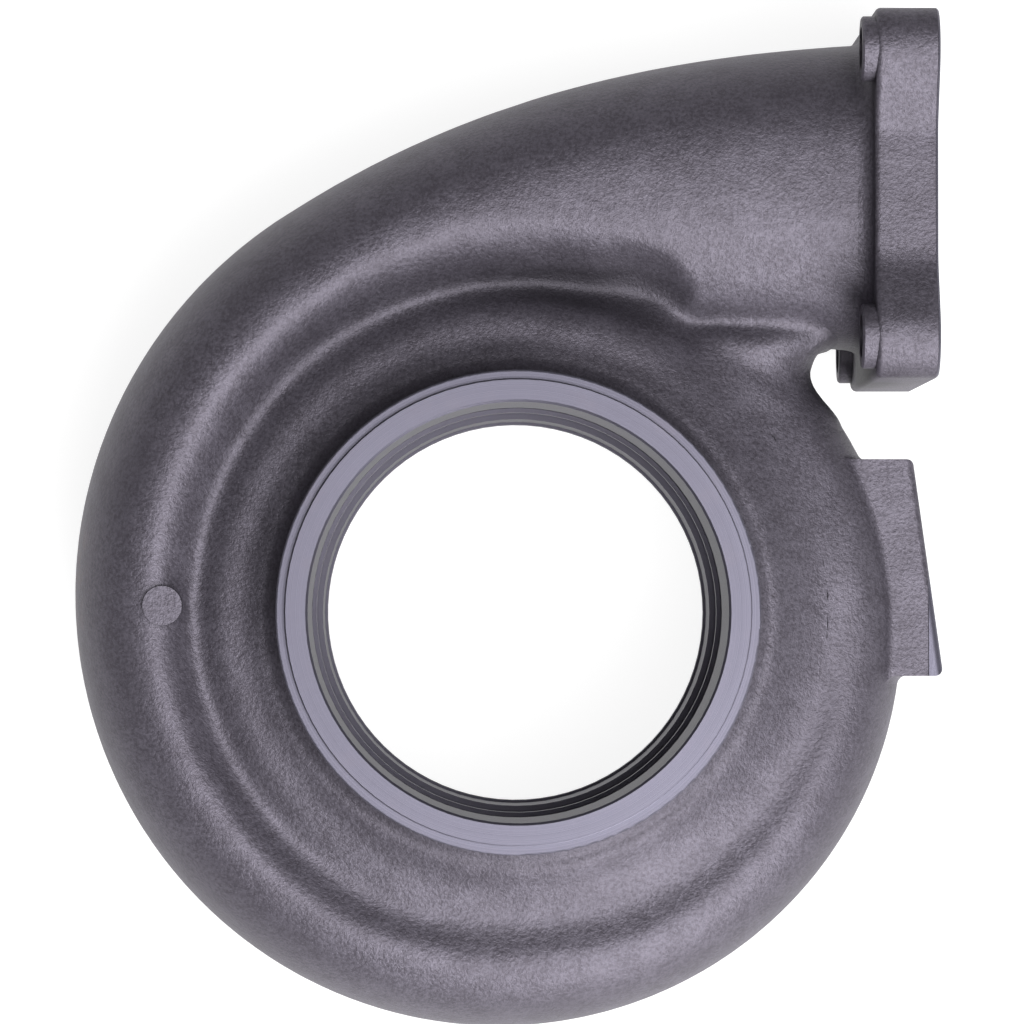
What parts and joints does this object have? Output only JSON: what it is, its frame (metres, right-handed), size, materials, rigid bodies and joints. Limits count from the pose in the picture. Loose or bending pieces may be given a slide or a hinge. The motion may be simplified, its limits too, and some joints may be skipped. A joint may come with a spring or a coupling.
{
  "type": "turbocharger turbine housing",
  "caption": "One-piece cast iron scroll with a divided inlet in a bolted flange, a stepped through-bore, and clamp-band rims for the exhaust pipe and the bearing housing.",
  "frame": {"origin": "on the turbine axis, at the machined face that meets the bearing housing", "axes": "+Z along the turbine axis out of the exhaust outlet; +X out of the exhaust inlet, square to its flange; +Y from the axis towards the inlet duct"},
  "size_m": [0.2235, 0.2597, 0.112],
  "materials": {
    "cast_iron": "as-cast sand texture, dark purple-grey, with fine-turned sealing faces and bores"
  },
  "bodies": {
    "root": {"turbine_housing": "cast_iron"}
  },
  "joints": []
}
